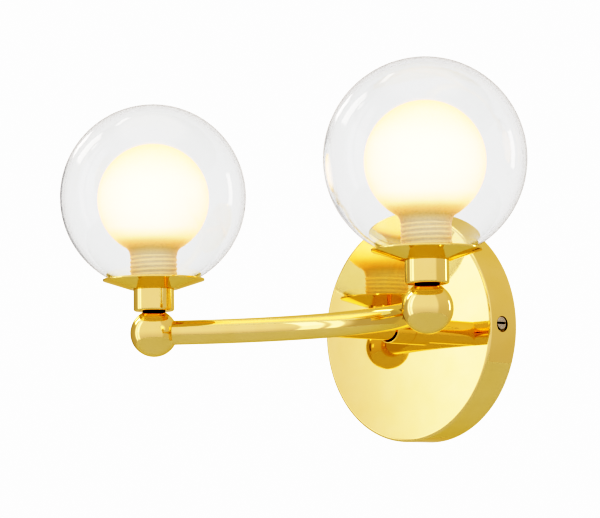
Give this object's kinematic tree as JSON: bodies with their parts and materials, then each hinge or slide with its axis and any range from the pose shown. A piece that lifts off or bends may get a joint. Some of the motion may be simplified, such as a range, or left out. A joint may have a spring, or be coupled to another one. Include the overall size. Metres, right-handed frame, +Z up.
{
  "type": "double arm wall sconce",
  "caption": "Double arm wall sconce: a bowed polished gold tube on a round canopy, with a shallow tray and an opal globe inside a clear glass globe at each end.",
  "frame": {"origin": "centre of the wall bracket on the wall plane", "axes": "+Z up, +X to the right as seen from the room, +Y into the wall"},
  "size_m": [0.298, 0.1615, 0.1833],
  "materials": {
    "polished_gold": "mirror polished gold plate",
    "zinc_steel": "bright zinc plate",
    "screw_steel": "turned steel",
    "brass": "raw turned brass",
    "black_washer": "matt black",
    "carrier_aluminium": "turned",
    "ceramic": "glazed ceramic",
    "lamp_base_white": "smooth",
    "lamp_glass": "frosted, lit",
    "pin_metal": "nickel plate",
    "opal_glass": "opal, satin outside",
    "clear_glass": "clear, fire polished",
    "terminal_plastic": "moulded",
    "lead_brown": "smooth insulation",
    "lead_blue": "smooth insulation"
  },
  "bodies": {
    "fitting": {"canopy": "polished_gold", "stub_collar": "polished_gold", "stub_tube": "polished_gold", "arm_tube": "polished_gold", "wall_bracket": "zinc_steel", "stub_lock_washer": "zinc_steel", "stub_nut": "zinc_steel", "earth_washer": "zinc_steel", "stub_bush": "brass", "stub_nipple": "brass", "earth_screw": "brass", "terminal_block": "terminal_plastic", "terminal_screws": "screw_steel", "terminal_block_screw": "screw_steel", "end_ball_left": "polished_gold", "ball_nipple_left": "brass", "neck_spacer_left": "black_washer", "cup_left": "polished_gold", "tray_left": "polished_gold", "glass_carrier_left": "carrier_aluminium", "carrier_nut_left": "zinc_steel", "lampholder_left": "ceramic", "lead_live_left": "lead_brown", "lead_neutral_left": "lead_blue", "end_ball_right": "polished_gold", "ball_nipple_right": "brass", "neck_spacer_right": "black_washer", "cup_right": "polished_gold", "tray_right": "polished_gold", "glass_carrier_right": "carrier_aluminium", "carrier_nut_right": "zinc_steel", "lampholder_right": "ceramic", "lead_live_right": "lead_brown", "lead_neutral_right": "lead_blue"},
    "glass_left": {"clear_globe_left": "clear_glass", "opal_bulb_left": "opal_glass"},
    "lamp_left": {"lamp_base_left": "lamp_base_white", "lamp_capsule_left": "lamp_glass", "lamp_pins_left": "pin_metal"},
    "rim_screw_left": {"side_screw_left": "screw_steel"},
    "glass_right": {"clear_globe_right": "clear_glass", "opal_bulb_right": "opal_glass"},
    "lamp_right": {"lamp_base_right": "lamp_base_white", "lamp_capsule_right": "lamp_glass", "lamp_pins_right": "pin_metal"},
    "rim_screw_right": {"side_screw_right": "screw_steel"}
  },
  "joints": [
    {"name": "glass_left_lift", "type": "slide", "parent": "fitting", "child": "glass_left", "axis": [0, 0, 1], "range_m": [0, 0.065]},
    {"name": "glass_right_lift", "type": "slide", "parent": "fitting", "child": "glass_right", "axis": [0, 0, 1], "range_m": [0, 0.065]},
    {"name": "lamp_left_pull", "type": "slide", "parent": "fitting", "child": "lamp_left", "axis": [0, 0, 1], "range_m": [0, 0.009]},
    {"name": "lamp_right_pull", "type": "slide", "parent": "fitting", "child": "lamp_right", "axis": [0, 0, 1], "range_m": [0, 0.009]},
    {"name": "rim_screw_left_turn", "type": "hinge", "parent": "fitting", "child": "rim_screw_left", "pos_m": [-0.058, -0.011, 0], "axis": [-1, 0, 0], "continuous": true},
    {"name": "rim_screw_right_turn", "type": "hinge", "parent": "fitting", "child": "rim_screw_right", "pos_m": [0.058, -0.011, 0], "axis": [1, 0, 0], "continuous": true}
  ]
}
